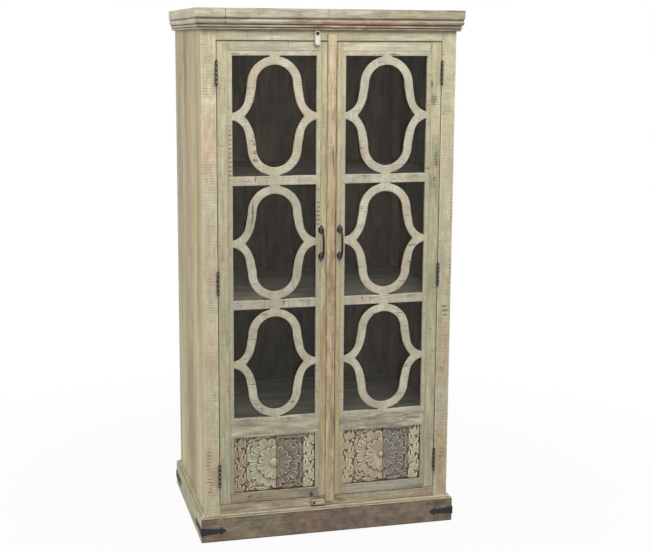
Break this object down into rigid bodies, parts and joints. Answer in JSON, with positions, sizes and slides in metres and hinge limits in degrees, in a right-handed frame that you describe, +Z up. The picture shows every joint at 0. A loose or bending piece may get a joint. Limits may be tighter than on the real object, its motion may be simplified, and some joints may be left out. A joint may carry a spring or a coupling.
{
  "type": "display cabinet",
  "caption": "Tall free-standing wooden display cabinet with glazed ogee-fretwork doors over carved panels, turn-button latches, iron pulls and a moulded cornice.",
  "frame": {"origin": "on the floor, under the middle of the whole bounding box", "axes": "+Z up, doors face -Y, +X to the right of someone facing the doors"},
  "size_m": [0.931, 0.65, 1.83],
  "materials": {
    "carcass_wood": "limed reclaimed wood",
    "door_wood": "limed greenish wood",
    "carved_wood": "worn paint on carving",
    "plinth_wood": "weathered brown wood",
    "strip_wood": "tan wood",
    "glass": "clear",
    "iron": "blackened forged iron",
    "steel": "dull steel"
  },
  "bodies": {
    "carcass": {"plinth_front": "plinth_wood", "plinth_left": "plinth_wood", "plinth_right": "plinth_wood", "plinth_back": "plinth_wood", "corner_straps": "iron", "post_front_left": "carcass_wood", "post_back_left": "carcass_wood", "post_front_right": "carcass_wood", "post_back_right": "carcass_wood", "side_left": "carcass_wood", "side_right": "carcass_wood", "bottom_board": "carcass_wood", "top_board": "carcass_wood", "shelf_upper": "carcass_wood", "shelf_middle": "carcass_wood", "shelf_lower": "carcass_wood", "shelf_cleats": "carcass_wood", "back_panel": "carcass_wood", "door_stop": "carcass_wood", "front_top_rail": "carcass_wood", "front_bottom_rail": "carcass_wood", "cornice_front": "plinth_wood", "cornice_left": "plinth_wood", "cornice_right": "plinth_wood", "left_hinge_frame_leaves": "iron", "right_hinge_frame_leaves": "iron", "hinge_pins": "iron", "latch_screws": "steel"},
    "left_door": {"left_door_hinge_stile": "door_wood", "left_door_meeting_stile": "door_wood", "left_door_top_rail": "door_wood", "left_door_lock_rail": "door_wood", "left_door_bottom_rail": "door_wood", "left_door_fret_upper": "door_wood", "left_door_fret_middle": "door_wood", "left_door_fret_lower": "door_wood", "left_door_glass": "glass", "left_door_glazing_beads": "door_wood", "left_door_panel_slips": "door_wood", "left_door_carved_blocks": "carved_wood", "left_door_handle": "iron", "left_door_hinge_leaves": "iron", "left_door_cover_strip": "strip_wood"},
    "right_door": {"right_door_hinge_stile": "door_wood", "right_door_meeting_stile": "door_wood", "right_door_top_rail": "door_wood", "right_door_lock_rail": "door_wood", "right_door_bottom_rail": "door_wood", "right_door_fret_upper": "door_wood", "right_door_fret_middle": "door_wood", "right_door_fret_lower": "door_wood", "right_door_glass": "glass", "right_door_glazing_beads": "door_wood", "right_door_panel_slips": "door_wood", "right_door_carved_blocks": "carved_wood", "right_door_handle": "iron", "right_door_hinge_leaves": "iron"},
    "top_latch": {"top_turn_button": "strip_wood"},
    "bottom_latch": {"bottom_turn_button": "strip_wood"}
  },
  "joints": [
    {"name": "left_door_hinge", "type": "hinge", "parent": "carcass", "child": "left_door", "pos_m": [-0.392, -0.29035, 0.9145], "axis": [0, 0, -1], "range_deg": [0, 165]},
    {"name": "right_door_hinge", "type": "hinge", "parent": "carcass", "child": "right_door", "pos_m": [0.392, -0.29035, 0.9145], "axis": [0, 0, 1], "range_deg": [0, 165]},
    {"name": "top_button_pivot", "type": "hinge", "parent": "carcass", "child": "top_latch", "pos_m": [-0.051, -0.29, 1.7499], "axis": [0, 1, 0], "range_deg": [0, 90]},
    {"name": "bottom_button_pivot", "type": "hinge", "parent": "carcass", "child": "bottom_latch", "pos_m": [-0.056, -0.29, 0.1105], "axis": [0, -1, 0], "range_deg": [0, 180]}
  ]
}
